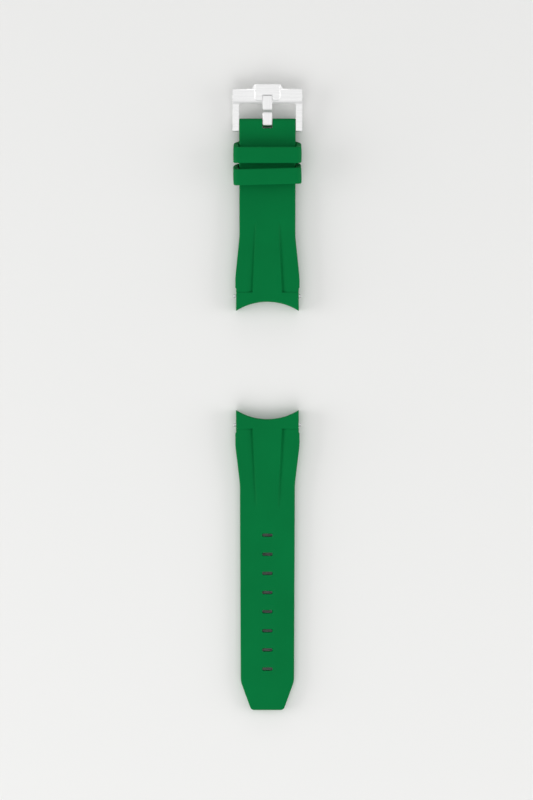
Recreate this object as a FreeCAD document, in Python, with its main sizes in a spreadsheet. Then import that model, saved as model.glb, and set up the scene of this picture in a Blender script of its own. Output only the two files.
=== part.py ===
import FreeCAD, Part
import math
import os
import Sketcher

# Rubber dive strap in two halves with a steel pin buckle, lying flat with its halves in place.
# +X runs across the strap, +Y along it towards the buckle, and +Z out of its face.
# The origin lies midway between the two lug spring bars, in the plane of their axes.
# All lengths are millimetres and all angles are degrees.

SIZES = [
    # Lugs and case that the strap fits. Lengths along each half are from its lug bar axis.
    ("lug_width", 21.0, "gap between the lugs"),
    ("lug_play", 0.1, "how much narrower the strap end is than that gap"),
    ("case_radius", 19.6, "hollow end that follows the round case"),
    ("bar_inset", 1.9, "from the deepest place of that hollow to the lug bar axis"),
    ("lug_reach", 2.5, "from the lug bar axis to the end of the lugs"),
    ("shoulder", 0.25, "how far each side swells past the lug"),
    ("shoulder_length", 0.3, "length of that swelling"),
    # Section at the lugs
    ("top_height", 2.2, "face of the strap above the lug bar axis"),
    ("base_depth", 2.4, "underside below the lug bar axis"),
    ("sleeve_bore", 1.9, "bore of the moulded-in sleeve"),
    ("sleeve_wall", 0.3, "wall of the moulded-in sleeve"),
    ("sleeve_recess", 0.25, "end of the sleeve inside the side of the strap"),
    # Creases that set off the raised middle panel
    ("crease_start", 1.3, "side crease"),
    ("crease_depth", 0.5, "how deep the lengthwise crease is at the lugs"),
    ("side_step", 0.16, "step down at the side crease, at the edge"),
    ("crease_fade", 0.02, "how far above the face the cut ends"),
    ("panel_start", 10.2, "width of the middle panel at the side crease"),
    # Long half
    ("long_taper_start", 6.9, "where it starts to narrow"),
    ("long_taper_end", 19.9, "where the narrowing ends"),
    ("long_waist_inset", 2.7, "how much narrower than the lug gap it is there"),
    ("tail_inset", 3.25, "how much narrower than the lug gap it is at the root of the tip"),
    ("tip_start", 85.7, "where the tip starts"),
    ("tip_end", 95.2, "end of the tail"),
    ("tip_width", 10.8, "flat end of the tip before its corners are rounded"),
    ("tip_shoulder_round", 6.5, "shoulders of the tip"),
    ("tip_corner_round", 1.4, "corners of the tip"),
    ("long_crease_end", 27.5, "where the lengthwise creases fade out"),
    ("long_panel_end", 7.6, "width of the middle panel there"),
    ("slope_end", 28.5, "where the face stops falling from the lugs"),
    ("slope_blend", 5.0, "half the length of the curve there"),
    ("slope_thickness", 3.2, "thickness there"),
    ("tail_thickness", 2.7, "thickness at the tip"),
    ("slot_count", 8, "slots for the tang"),
    ("slot_first", 36.8, "first slot"),
    ("slot_pitch", 6.385, "between two slots"),
    ("slot_width", 3.4, "slot, across the strap"),
    ("slot_length", 1.05, "slot, along the strap"),
    ("slot_round", 0.4, "corners of a slot"),
    # Short half
    ("taper_round", 20.0, "curves at both ends of the narrowing, on both halves"),
    ("short_taper_start", 6.3, "where it starts to narrow"),
    ("short_taper_end", 19.9, "where the narrowing ends"),
    ("short_waist_inset", 2.4, "how much narrower than the lug gap it is there"),
    ("buckle_end_inset", 2.2, "how much narrower than the lug gap it is at the buckle"),
    ("short_end", 59.2, "end at the buckle"),
    ("short_corner_round", 0.4, "corners of that end"),
    ("short_crease_end", 24.5, "where the lengthwise creases fade out"),
    ("short_panel_end", 8.0, "width of the middle panel there"),
    ("rise_start", 6.5, "where the underside starts to rise"),
    ("rise_end", 24.5, "where it stops"),
    ("short_thickness", 3.05, "thickness under the keepers"),
    ("swell_start", 52.1, "where the end thickens for the buckle bar"),
    ("swell_end", 54.9, "where it is at its thickest"),
    ("end_thickness", 3.4, "thickness round the buckle bar"),
    ("nose_round", 1.2, "rounded nose of the buckle end"),
    ("buckle_bar_y", 57.7, "axis of the buckle bar"),
    ("bar_bore_play", 0.05, "round the buckle bar in the rubber"),
    ("notch_play", 0.15, "each side of the tang in its notch"),
    ("notch_reach", 1.8, "from the bar axis to the blind end of the notch"),
    ("notch_round", 0.4, "corners of the notch"),
    # Keepers
    ("keeper_length", 5.4, "along the strap"),
    ("keeper_wall", 1.4, "bands over and under the strap"),
    ("keeper_side", 1.6, "sides"),
    ("keeper_side_play", 0.33, "between the side and the strap"),
    ("keeper_base_play", 0.15, "between the lower band and the strap"),
    ("keeper_room", 0.3, "spare height over both straps"),
    ("keeper_lean", 2.5, "how far the upper band stands towards the case"),
    ("keeper_round", 1.5, "upper outer corners"),
    ("keeper_base_round", 3.0, "lower outer corners"),
    ("keeper_inner_round", 0.5, "inner corners"),
    ("keeper_rim", 0.3, "rounded rims"),
    ("keeper_skew", 1.5, "turn of the loose keeper"),
    ("fixed_keeper_y", 46.75, "middle of the fixed keeper's upper band"),
    ("free_keeper_y", 39.6, "middle of the loose keeper's upper band"),
    ("groove_width", 2.4, "locating groove under the strap"),
    ("groove_depth", 0.5, "depth of that groove"),
    ("rib_play", 0.15, "round the fixed keeper's rib in the groove"),
    # Spring bars
    ("bar_end_play", 0.05, "between a pin's flange and the lug or arm"),
    ("pin_travel", 0.9, "how far a pin can be pressed in"),
    ("pin_gap", 0.05, "left between flange and tube when pressed in"),
    ("flange_thickness", 0.35, "flange of a pin"),
    ("tube_end_wall", 0.35, "swaged end of a tube"),
    ("piston_length", 1.45, "head of a pin inside the tube"),
    ("tip_length", 0.8, "how far a pin reaches into the lug or arm"),
    ("tip_chamfer", 0.12, "end of a pin"),
    ("stem_play", 0.06, "between the stem and the swaged end"),
    ("piston_play", 0.07, "between the head and the tube"),
    ("spring_end_play", 0.02, "between the spring and the head"),
    ("lug_bar_diameter", 1.8, "lug spring bar"),
    ("lug_tube_wall", 0.25, "its tube"),
    ("lug_stem_diameter", 0.76, "its stem"),
    ("lug_flange_diameter", 1.6, "its flange"),
    ("lug_tip_diameter", 1.1, "its tip"),
    ("lug_coil_diameter", 0.84, "its spring, to the middle of the wire"),
    ("lug_wire_diameter", 0.16, "wire of its spring"),
    ("buckle_bar_diameter", 1.5, "buckle spring bar"),
    ("buckle_tube_wall", 0.22, "its tube"),
    ("buckle_stem_diameter", 0.72, "its stem"),
    ("buckle_flange_diameter", 1.4, "its flange"),
    ("buckle_tip_diameter", 1.0, "its tip"),
    ("buckle_coil_diameter", 0.66, "its spring, to the middle of the wire"),
    ("buckle_wire_diameter", 0.14, "wire of its spring"),
    ("coil_pitch", 0.95, "from one turn of a spring to the next"),
    # Buckle frame, measured from the axis of its bar
    ("frame_play", 0.2, "how much wider the frame is inside than the strap"),
    ("arm_width", 2.1, "each arm"),
    ("arm_tail", 2.8, "arm behind the bar axis"),
    ("arm_half_height", 1.2, "arm above and below the bar axis"),
    ("arm_bend", 2.6, "where the arm's underside starts to rise"),
    ("arm_step", 5.5, "where the arm steps up to the front bar"),
    ("arm_step_length", 0.6, "length of that step"),
    ("bar_near", 6.5, "near side of the front bar"),
    ("bar_far", 11.4, "far side of the front bar"),
    ("bar_base", 0.1, "underside of the front bar above the bar axis"),
    ("bar_lip", 1.45, "near edge of the front bar above the bar axis"),
    ("bar_face", 1.8, "face of the front bar past its near bevel"),
    ("bar_bevel", 0.5, "length of that bevel"),
    ("bar_crown", 2.1, "far side of the face"),
    ("bar_edge", 0.35, "far bevel"),
    ("face_radius", 7.5, "curve of the front bar's face"),
    ("window_chamfer", 0.5, "inner corners of the window"),
    ("frame_round", 0.4, "outer corners"),
    ("arm_round", 0.3, "rear ends of the arms"),
    ("pad_far", 12.8, "far end of the raised pad"),
    ("pad_near", 7.3, "near end of the raised pad"),
    ("pad_width", 8.5, "raised pad"),
    ("pad_flare", 1.0, "how much wider each side is where it leaves the bar"),
    ("pad_face", 2.45, "face of the pad above the bar axis"),
    ("pad_round", 1.3, "near corners of the pad"),
    ("pad_rim", 0.15, "rounded rim of the pad"),
    ("hole_play", 0.05, "round a pin's tip in the arm"),
    ("recess_play", 0.2, "each side of the tang in its recess"),
    ("recess_far", 9.3, "far end of the recess"),
    ("recess_near_floor", 1.65, "floor of the recess at its mouth"),
    ("recess_far_floor", 1.3, "floor of the recess at its far end"),
    # Tang, measured from the axis of its bar
    ("tang_width", 3.1, "across the strap"),
    ("tang_thickness", 0.85, "strip that it is bent from"),
    ("tang_loop_wall", 0.52, "wall of the loop round the bar"),
    ("tang_bore_play", 0.08, "round the bar in the loop"),
    ("tang_ramp", 3.2, "where it starts to rise"),
    ("tang_ramp_share", 0.8, "how much of its rise lies before the bend at the top"),
    ("tang_under_shift", 0.28, "how much later its underside bends than its face"),
    ("tang_crest", 6.1, "where it passes over the front bar"),
    ("tang_crest_height", 2.72, "its face there"),
    ("tang_tip", 9.1, "its tip"),
    ("tang_tip_height", 2.25, "its face at the tip"),
    ("tang_bend_round", 1.6, "curves of its bends"),
    ("tang_tip_round", 0.3, "rounded tip"),
]

CLEAR = 1.0  # how far a cutting outline stands outside the solid that it cuts

doc = FreeCAD.newDocument("rubber_dive_strap")
dim = doc.addObject("Spreadsheet::Sheet", "dim")
for row, (alias, number, meaning) in enumerate(SIZES, 1):
    dim.set("A%d" % row, meaning)
    dim.set("B%d" % row, str(number))
    dim.setAlias("B%d" % row, alias)
doc.recompute()

parts = []


def value(expression):
    """The number that an expression on the sheet gives now."""
    return float(dim.evalExpression(expression))


def new_body(label, across="0", along="0", up="0"):
    """A body named as the piece is, with its origin at a place worked out from the sheet."""
    body = doc.addObject("PartDesign::Body", label)
    body.Label = label
    for axis, place in zip("xyz", (across, along, up)):
        body.setExpression("Placement.Base." + axis, place)
    parts.append(body)
    return body


def origin_plane(body, role):
    return next(f for f in body.Origin.OriginFeatures if f.Role == role)


def new_sketch(body, name, role, offset="0"):
    """A sketch on one of the body's own planes, moved along its normal."""
    sketch = body.newObject("Sketcher::SketchObject", body.Name + "_" + name)
    sketch.AttachmentSupport = [(origin_plane(body, role), "")]
    sketch.MapMode = "FlatFace"
    sketch.setExpression("AttachmentOffset.Base.z", offset)
    return sketch


def pin_down(sketch, geometry, point, first, second):
    """Ties a point of the sketch to its two coordinates."""
    for kind, expression, axis in (("DistanceX", first, -2), ("DistanceY", second, -1)):
        number = value(expression)
        if expression == "0":
            sketch.addConstraint(Sketcher.Constraint("PointOnObject", geometry, point, axis))
            continue
        made = sketch.addConstraint(
            Sketcher.Constraint(kind, -1, 1, geometry, point, number)
        )
        sketch.setExpression("Constraints[%d]" % made, expression)


def arc_between(start, end, radius):
    """The short arc between two points; a negative radius bulges to the left of the way taken."""
    chord = end.sub(start)
    left = FreeCAD.Vector(-chord.y, chord.x, 0).normalize()
    rise = math.sqrt(max(radius * radius - chord.Length ** 2 / 4, 0))
    side = 1 if radius > 0 else -1
    centre = (start + end) * 0.5 + left * (rise * side)
    angles = [math.atan2(p.y - centre.y, p.x - centre.x) for p in (start, end)]
    if side < 0:
        angles.reverse()
    circle = Part.Circle(centre, FreeCAD.Vector(0, 0, 1), abs(radius))
    return Part.ArcOfCircle(circle, angles[0], angles[1])


def draw(sketch, corners):
    """A closed outline. A corner is a pair of expressions, and a third one is the radius of the
    arc that leaves it: positive for an arc that turns left, negative for one that turns right."""
    points = [FreeCAD.Vector(value(c[0]), value(c[1]), 0) for c in corners]
    first = sketch.GeometryCount
    ends = []
    for i, corner in enumerate(corners):
        start, end = points[i], points[(i + 1) % len(points)]
        if len(corner) == 2:
            sketch.addGeometry(Part.LineSegment(start, end), False)
            ends.append((1, 2))
        else:
            radius = value(corner[2])
            sketch.addGeometry(arc_between(start, end, radius), False)
            ends.append((1, 2) if radius > 0 else (2, 1))
    for i, corner in enumerate(corners):
        after = (i + 1) % len(corners)
        sketch.addConstraint(
            Sketcher.Constraint("Coincident", first + i, ends[i][1], first + after, ends[after][0])
        )
        pin_down(sketch, first + i, ends[i][0], corner[0], corner[1])
        if len(corner) == 3:
            radius = value(corner[2])
            made = sketch.addConstraint(Sketcher.Constraint("Radius", first + i, abs(radius)))
            sketch.setExpression("Constraints[%d]" % made, "abs(%s)" % corner[2])
    return sketch


def minus(expression):
    return "-(%s)" % expression


def both_sides(corners):
    """Corners on the +X side, in order from the middle, with their mirror images."""
    mirrored = []
    for i in range(len(corners) - 1, -1, -1):
        corner = (minus(corners[i][0]), corners[i][1])
        if i and len(corners[i - 1]) == 3:
            corner += (corners[i - 1][2],)
        mirrored.append(corner)
    return list(corners) + mirrored


def circle(sketch, across, up, radius):
    """A circle tied to its centre and radius."""
    centre = FreeCAD.Vector(value(across), value(up), 0)
    made = sketch.addGeometry(
        Part.Circle(centre, FreeCAD.Vector(0, 0, 1), value(radius)), False
    )
    pin_down(sketch, made, 3, across, up)
    tie = sketch.addConstraint(Sketcher.Constraint("Radius", made, value(radius)))
    sketch.setExpression("Constraints[%d]" % tie, radius)
    return sketch


def box_outline(left, right, low, high, radius):
    """The corners of a rectangle with rounded corners."""
    return [
        (left + " + " + radius, low),
        (right + " - " + radius, low, radius),
        (right, low + " + " + radius),
        (right, high + " - " + radius, radius),
        (right + " - " + radius, high),
        (left + " + " + radius, high, radius),
        (left, high + " - " + radius),
        (left, low + " + " + radius, radius),
    ]


def pad(body, name, sketch, length, midplane=False):
    feature = body.newObject("PartDesign::Pad", body.Name + "_" + name)
    feature.Profile = sketch
    feature.SideType = "Symmetric" if midplane else "One side"
    feature.setExpression("Length", length)
    return feature


def pocket(body, name, sketch):
    """A cut right through, to both sides of the sketch."""
    feature = body.newObject("PartDesign::Pocket", body.Name + "_" + name)
    feature.Profile = sketch
    feature.SideType = "Symmetric"
    feature.Type = "ThroughAll"
    return feature


def revolution(body, name, sketch):
    """A full turn of the sketch about its own horizontal axis."""
    feature = body.newObject("PartDesign::Revolution", body.Name + "_" + name)
    feature.Profile = sketch
    feature.ReferenceAxis = (sketch, ["H_Axis"])
    feature.Angle = 360
    return feature


def round_edges(body, name, base, radius, keep):
    """Rounds those edges of a feature that keep() picks."""
    doc.recompute()
    names = ["Edge%d" % n for n, edge in enumerate(base.Shape.Edges, 1) if keep(edge)]
    feature = body.newObject("PartDesign::Fillet", body.Name + "_" + name)
    feature.Base = (base, names)
    feature.setExpression("Radius", radius)
    return feature


def upright_at(corners):
    """Picks the upright edges that stand at these pairs of expressions, on either side."""
    places = [(value(c[0]), value(c[1])) for c in corners]

    def keep(edge):
        low, high = edge.BoundBox.ZMin, edge.BoundBox.ZMax
        middle = edge.CenterOfMass
        thin = edge.BoundBox.XLength < 1e-6 and edge.BoundBox.YLength < 1e-6
        near = any(
            math.hypot(abs(middle.x) - place[0], middle.y - place[1]) < 0.01
            for place in places
        )
        return high > low and thin and near

    return keep


END_HALF = "(dim.lug_width - dim.lug_play) / 2"
WIDE_HALF = "(dim.lug_width - dim.lug_play) / 2 + dim.shoulder"
SWELL_Y = "dim.lug_reach + dim.shoulder_length"
BAR_Y = "dim.case_radius + dim.bar_inset"
HOLLOW_Y = "sqrt(dim.case_radius ^ 2 - ((dim.lug_width - dim.lug_play) / 2) ^ 2) - (%s)" % BAR_Y
BUCKLE_BAR_Y = BAR_Y + " + dim.buckle_bar_y"
BUCKLE_END = "(dim.lug_width - dim.buckle_end_inset)"
FRAME_HALF = "(dim.lug_width - dim.buckle_end_inset + dim.frame_play) / 2"
UNDERSIDE = "dim.top_height - dim.short_thickness"
END_UNDERSIDE = "dim.top_height - dim.end_thickness"
BUCKLE_BAR_Z = "dim.top_height - dim.end_thickness / 2"
TANG_LOOP = "dim.buckle_bar_diameter / 2 + dim.tang_bore_play + dim.tang_loop_wall"


def lug_end(body):
    """Bores the end of a strap half for its sleeve."""
    sketch = new_sketch(body, "bore_outline", "YZ_Plane")
    circle(sketch, "0", "0", "dim.sleeve_bore / 2 + dim.sleeve_wall")
    return pocket(body, "bore", sketch)


def crease(body, way, end, panel_end, drop):
    """Cuts the side panels, which dip towards the raised middle panel and fade out along the strap."""
    outer = WIDE_HALF + " + dim.shoulder"
    above = "dim.top_height + dim.crease_depth"
    start = new_sketch(body, "crease_root", "XZ_Plane", minus(way + "dim.crease_start"))
    draw(start, [
        ("dim.panel_start / 2", "dim.top_height - dim.crease_depth"),
        (outer, "dim.top_height - dim.side_step"),
        (outer, above),
        ("dim.panel_start / 2", above),
    ])
    finish = new_sketch(body, "crease_end", "XZ_Plane", minus(way + end))
    level = "dim.top_height + dim.crease_fade - " + drop
    draw(finish, [
        (panel_end + " / 2", level),
        (outer, level),
        (outer, above),
        (panel_end + " / 2", above),
    ])
    cut = body.newObject("PartDesign::SubtractiveLoft", body.Name + "_side_panel")
    cut.Profile = start
    cut.Sections = [finish]
    cut.Ruled = True
    mirror = body.newObject("PartDesign::Mirrored", body.Name + "_side_panels")
    mirror.Originals = [cut]
    mirror.MirrorPlane = (origin_plane(body, "YZ_Plane"), [""])
    body.Tip = mirror
    return mirror


def long_strap():
    """The 6 o'clock half: pointed tail, eight slots, flat underside."""
    body = new_body("long_strap", "0", minus(BAR_Y))
    plan = new_sketch(body, "plan", "XY_Plane", "-dim.base_depth")
    taper = [
        (WIDE_HALF, "-dim.long_taper_start"),
        ("(dim.lug_width - dim.long_waist_inset) / 2", "-dim.long_taper_end"),
    ]
    shoulders = [("(dim.lug_width - dim.tail_inset) / 2", "-dim.tip_start")]
    tip = [("dim.tip_width / 2", "-dim.tip_end")]
    swell = [(END_HALF, "-dim.lug_reach"), (WIDE_HALF, minus(SWELL_Y))]
    side = [(END_HALF, minus(HOLLOW_Y))] + swell + taper + shoulders + tip
    outline = both_sides(side)
    outline[-1] += ("dim.case_radius",)
    draw(plan, outline)
    block = pad(body, "block", plan, "dim.top_height + dim.base_depth")
    block = round_edges(body, "taper", block, "dim.taper_round", upright_at(taper))
    block = round_edges(
        body, "shoulders", block, "dim.tip_shoulder_round", upright_at(shoulders)
    )
    round_edges(body, "corners", block, "dim.tip_corner_round", upright_at(tip))

    fall = "(dim.top_height + dim.base_depth - dim.slope_thickness)"
    fall += " / (dim.slope_end - dim.crease_start)"
    tail_fall = "(dim.slope_thickness - dim.tail_thickness) / (dim.tip_end - dim.slope_end)"
    knee = "dim.slope_thickness - dim.base_depth"
    past = "dim.tip_end + %g" % CLEAR
    above = "dim.top_height + %g" % CLEAR
    face = new_sketch(body, "face_outline", "YZ_Plane")
    draw(face, [
        ("-dim.crease_start", "dim.top_height"),
        ("-(dim.slope_end - dim.slope_blend)", "%s + %s * dim.slope_blend" % (knee, fall),
         "-dim.slope_blend / tan((atan(%s) - atan(%s)) / 2)" % (fall, tail_fall)),
        ("-(dim.slope_end + dim.slope_blend)", "%s - %s * dim.slope_blend" % (knee, tail_fall)),
        (minus(past), "%s - %s * (%s - dim.slope_end)" % (knee, tail_fall, past)),
        (minus(past), above),
        ("-dim.crease_start", above),
    ])
    pocket(body, "face", face)

    lug_end(body)
    slot = new_sketch(body, "slot_outline", "XY_Plane")
    draw(slot, box_outline(
        "-dim.slot_width / 2", "dim.slot_width / 2",
        "-dim.slot_first - dim.slot_length / 2", "-dim.slot_first + dim.slot_length / 2",
        "dim.slot_round",
    ))
    cut = pocket(body, "slot", slot)
    row = body.newObject("PartDesign::LinearPattern", "slots")
    row.Originals = [cut]
    row.Direction = (origin_plane(body, "Y_Axis"), [""])
    row.Reversed = True
    row.setExpression("Length", "dim.slot_pitch * (dim.slot_count - 1)")
    row.setExpression("Occurrences", "dim.slot_count")
    body.Tip = row
    drop = "%s * (dim.long_crease_end - dim.crease_start)" % fall
    crease(body, "-", "dim.long_crease_end", "dim.long_panel_end", drop)


def short_strap():
    """The 12 o'clock half: level face, underside that rises to leave room for the keepers."""
    body = new_body("short_strap", "0", BAR_Y)
    plan = new_sketch(body, "plan", "XY_Plane", "-dim.base_depth")
    taper = [
        (WIDE_HALF, "dim.short_taper_start"),
        ("(dim.lug_width - dim.short_waist_inset) / 2", "dim.short_taper_end"),
    ]
    end = [(BUCKLE_END + " / 2", "dim.short_end")]
    swell = [(END_HALF, "dim.lug_reach"), (WIDE_HALF, SWELL_Y)]
    side = [(END_HALF, HOLLOW_Y)] + swell + taper + end
    outline = both_sides(side)
    outline[-1] += ("-dim.case_radius",)
    draw(plan, outline)
    block = pad(body, "block", plan, "dim.top_height + dim.base_depth")
    block = round_edges(body, "taper", block, "dim.taper_round", upright_at(taper))
    round_edges(body, "corners", block, "dim.short_corner_round", upright_at(end))

    past = "dim.short_end + %g" % CLEAR
    below = "-(dim.base_depth + %g)" % CLEAR
    above = "dim.top_height + %g" % CLEAR
    nose = "dim.short_end - dim.nose_round"
    under = new_sketch(body, "profile", "YZ_Plane")
    draw(under, [
        ("dim.rise_start", below),
        (past, below),
        (past, END_UNDERSIDE + " + dim.nose_round"),
        ("dim.short_end", END_UNDERSIDE + " + dim.nose_round", "-dim.nose_round"),
        (nose, END_UNDERSIDE),
        ("dim.swell_end", END_UNDERSIDE),
        ("dim.swell_start", UNDERSIDE),
        ("dim.rise_end", UNDERSIDE),
        ("dim.rise_start", "-dim.base_depth"),
    ])
    draw(under, [
        (nose, above),
        (nose, "dim.top_height", "-dim.nose_round"),
        ("dim.short_end", "dim.top_height - dim.nose_round"),
        (past, "dim.top_height - dim.nose_round"),
        (past, above),
    ])
    pocket(body, "sides", under)

    lug_end(body)
    bar = new_sketch(body, "bar_outline", "YZ_Plane")
    circle(bar, "dim.buckle_bar_y", BUCKLE_BAR_Z, "dim.buckle_bar_diameter / 2 + dim.bar_bore_play")
    pocket(body, "bar_bore", bar)
    notch = new_sketch(body, "notch_outline", "XY_Plane")
    draw(notch, box_outline(
        "-(dim.tang_width / 2 + dim.notch_play)", "dim.tang_width / 2 + dim.notch_play",
        "dim.buckle_bar_y - dim.notch_reach", past, "dim.notch_round",
    ))
    pocket(body, "notch", notch)
    middle = "dim.fixed_keeper_y + dim.keeper_lean"
    groove = new_sketch(body, "groove_outline", "YZ_Plane")
    draw(groove, [
        (middle + " - dim.groove_width / 2", below),
        (middle + " + dim.groove_width / 2", below),
        (middle + " + dim.groove_width / 2", UNDERSIDE + " + dim.groove_depth"),
        (middle + " - dim.groove_width / 2", UNDERSIDE + " + dim.groove_depth"),
    ])
    pocket(body, "groove", groove)
    crease(body, "", "dim.short_crease_end", "dim.short_panel_end", "0")


def keeper(label, along, skew, rib):
    """A rubber loop round the short half. Its bands lie level and its sides lean."""
    body = new_body(label, "0", along, UNDERSIDE)
    body.setExpression("Placement.Rotation.Axis.z", "1")
    body.setExpression("Placement.Rotation.Angle", skew)
    floor = "-dim.keeper_base_play"
    ceiling = "dim.short_thickness + dim.tail_thickness + dim.keeper_room"
    low = floor + " - dim.keeper_wall"
    high = ceiling + " + dim.keeper_wall"
    half = "dim.keeper_length / 2"
    hollow = BUCKLE_END + " / 2 + dim.keeper_side_play"
    outer = hollow + " + dim.keeper_side"
    side = new_sketch(body, "side_outline", "YZ_Plane")
    draw(side, [
        ("dim.keeper_lean - " + half, low),
        ("dim.keeper_lean + " + half, low),
        (half, high),
        ("-dim.keeper_length / 2", high),
    ])
    block = pad(body, "block", side, "2 * (%s)" % outer, midplane=True)
    doc.recompute()
    reach = block.Shape.BoundBox

    def along_top(edge):
        box = edge.BoundBox
        return box.YLength > 1 and reach.ZMax - box.ZMin < 0.01

    def along_base(edge):
        box = edge.BoundBox
        return box.YLength > 1 and box.ZMax - reach.ZMin < 0.01

    block = round_edges(body, "corners", block, "dim.keeper_round", along_top)
    block = round_edges(body, "base_corners", block, "dim.keeper_base_round", along_base)
    hole = new_sketch(body, "hole_outline", "XZ_Plane")
    draw(hole, box_outline(minus(hollow), hollow, floor, ceiling, "dim.keeper_inner_round"))
    hole = pocket(body, "hole", hole)

    def rim(edge):
        box = edge.BoundBox
        middle = edge.CenterOfMass
        leaning = abs(box.YMin - reach.YMin) < 0.01 or abs(box.YMax - reach.YMax) < 0.01
        crosswise = box.XLength > 5 and box.YLength < 0.01
        return leaning and crosswise and abs(middle.x) < 0.01

    round_edges(body, "rims", hole, "dim.keeper_rim", rim)
    if rib:
        tongue = new_sketch(body, "rib_outline", "YZ_Plane")
        top = "dim.groove_depth - dim.rib_play"
        reach_y = "dim.groove_width / 2 - dim.rib_play"
        draw(tongue, [
            ("dim.keeper_lean - (%s)" % reach_y, low + " + dim.keeper_wall / 2"),
            ("dim.keeper_lean + " + reach_y, low + " + dim.keeper_wall / 2"),
            ("dim.keeper_lean + " + reach_y, top),
            ("dim.keeper_lean - (%s)" % reach_y, top),
        ])
        pad(body, "rib", tongue, BUCKLE_END + " - 2 * dim.keeper_side", midplane=True)


def sleeve(label, along):
    """A steel tube moulded into the end of a strap half."""
    body = new_body(label, "0", along)
    ring = new_sketch(body, "ring", "YZ_Plane")
    circle(ring, "0", "0", "dim.sleeve_bore / 2 + dim.sleeve_wall")
    circle(ring, "0", "0", "dim.sleeve_bore / 2")
    pad(body, "tube", ring, "dim.lug_width - dim.lug_play - 2 * dim.sleeve_recess", midplane=True)


def spring_bar(name, kind, half_gap, along, up):
    """A spring bar: a tube swaged over the heads of two pins, with a spring between them."""
    sheet = "dim." + kind + "_"
    radius = sheet + "bar_diameter / 2"
    bore = radius + " - " + sheet + "tube_wall"
    stem = sheet + "stem_diameter / 2"
    flange_face = half_gap + " - dim.bar_end_play"
    flange_back = flange_face + " - dim.flange_thickness"
    tube_end = flange_back + " - dim.pin_travel - dim.pin_gap"
    seat = tube_end + " - dim.tube_end_wall"
    head_back = seat + " - dim.pin_gap"
    head_face = head_back + " - dim.piston_length"

    tube = new_body(name + "_tube", "0", along, up)
    section = new_sketch(tube, "section", "XZ_Plane")
    neck = stem + " + dim.stem_play"
    draw(section, [
        (minus(tube_end), neck),
        (minus(seat), neck),
        (minus(seat), bore),
        (seat, bore),
        (seat, neck),
        (tube_end, neck),
        (tube_end, radius),
        (minus(tube_end), radius),
    ])
    revolution(tube, "shell", section)

    tip_radius = sheet + "tip_diameter / 2"
    tip_end = half_gap + " + dim.tip_length"
    for side, turn in (("left", "180"), ("right", "0")):
        pin = new_body("%s_%s_pin" % (name, side), "0", along, up)
        pin.setExpression("Placement.Rotation.Axis.z", "1")
        pin.setExpression("Placement.Rotation.Angle", turn)
        section = new_sketch(pin, "section", "XZ_Plane")
        draw(section, [
            (head_face, "0"),
            (tip_end, "0"),
            (tip_end, tip_radius + " - dim.tip_chamfer"),
            (tip_end + " - dim.tip_chamfer", tip_radius),
            (flange_face, tip_radius),
            (flange_face, sheet + "flange_diameter / 2"),
            (flange_back, sheet + "flange_diameter / 2"),
            (flange_back, stem),
            (head_back, stem),
            (head_back, bore + " - dim.piston_play"),
            (head_face, bore + " - dim.piston_play"),
        ])
        revolution(pin, "solid", section)

    coil_spring(name + "_spring", sheet, head_face, along, up)


def coil_spring(label, sheet, head_face, along, up):
    """A wound spring between the heads of two pins, one unbroken wire of half turns.

    Each half turn is an arc that leans along the bar, so that it meets the next one smoothly."""
    radius = value(sheet + "coil_diameter / 2")
    wire_radius = value(sheet + "wire_diameter / 2")
    reach = value(head_face + " - dim.spring_end_play") - wire_radius
    halves = 2 * round(reach * 2 / value("dim.coil_pitch"))
    advance = 2 * reach / halves
    lean = FreeCAD.Vector(advance / 2, 0, -radius).Length
    arcs = []
    for i in range(halves):
        side = 1 if i % 2 == 0 else -1
        start = FreeCAD.Vector(-reach + advance * i, 0, radius * side)
        end = FreeCAD.Vector(-reach + advance * (i + 1), 0, -radius * side)
        middle = (start + end) * 0.5 + FreeCAD.Vector(0, lean * side, 0)
        arcs.append(Part.Arc(start, middle, end).toShape())
    path = Part.Wire(arcs)
    section = Part.Wire(Part.Circle(
        FreeCAD.Vector(-reach, 0, radius), FreeCAD.Vector(0, 1, 0), wire_radius
    ).toShape())
    made = doc.addObject("Part::Feature", label)
    made.Label = label
    made.Shape = path.makePipeShell([section], True, False)
    for axis, place in zip("xyz", ("0", along, up)):
        made.setExpression("Placement.Base." + axis, place)
    parts.append(made)
    print("%s: gap between its turns %.2f" % (label, 2 * advance - 2 * wire_radius))


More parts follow.
